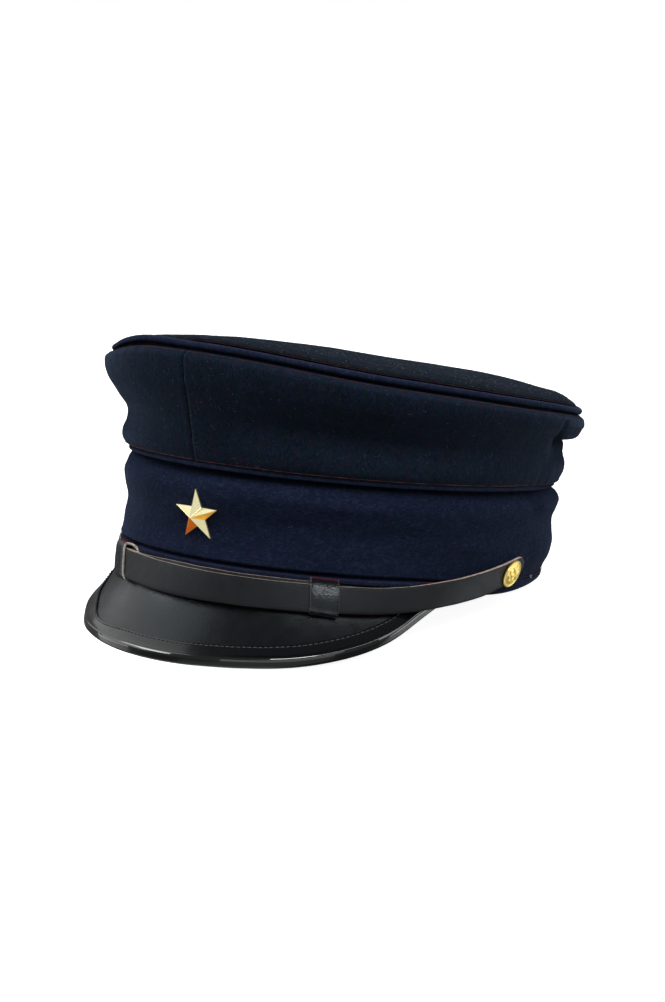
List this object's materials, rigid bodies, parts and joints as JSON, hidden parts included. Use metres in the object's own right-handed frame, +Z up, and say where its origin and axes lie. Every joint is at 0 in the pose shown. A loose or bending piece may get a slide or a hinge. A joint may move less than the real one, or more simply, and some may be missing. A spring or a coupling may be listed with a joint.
{
  "type": "peaked cap",
  "caption": "Soft wool cap with a flared crown on an upright band, a downturned leather peak with a bound edge, a chin strap on buttons and a star badge.",
  "frame": {"origin": "on the surface the cap stands on, under the middle of its box", "axes": "+Z up from the surface, -Y where the peak points, +X the wearer's left"},
  "size_m": [0.2018, 0.2514, 0.1264],
  "materials": {
    "crown_wool": "milled wool broadcloth, short nap, lint on it",
    "band_wool": "soft brushed dark blue wool",
    "piping_wool": "wool piping",
    "peak_leather": "smooth dark leather, half matt",
    "binding_leather": "patent leather with stitching",
    "strap_leather": "smooth dark leather, cut edges pale brown",
    "gilt_metal": "gilt, polished, lightly worn"
  },
  "bodies": {
    "root": {"crown_tip": "crown_wool", "top_piping": "piping_wool", "crown_side_left": "crown_wool", "crown_side_right": "crown_wool", "crown_welt": "piping_wool", "band": "band_wool", "bottom_welt": "band_wool", "peak": "peak_leather", "peak_binding": "binding_leather", "strap_left": "strap_leather", "strap_right": "strap_leather", "keeper_center": "strap_leather", "keeper_side": "strap_leather", "button_left": "gilt_metal", "button_right": "gilt_metal", "star_badge": "gilt_metal"}
  },
  "joints": []
}
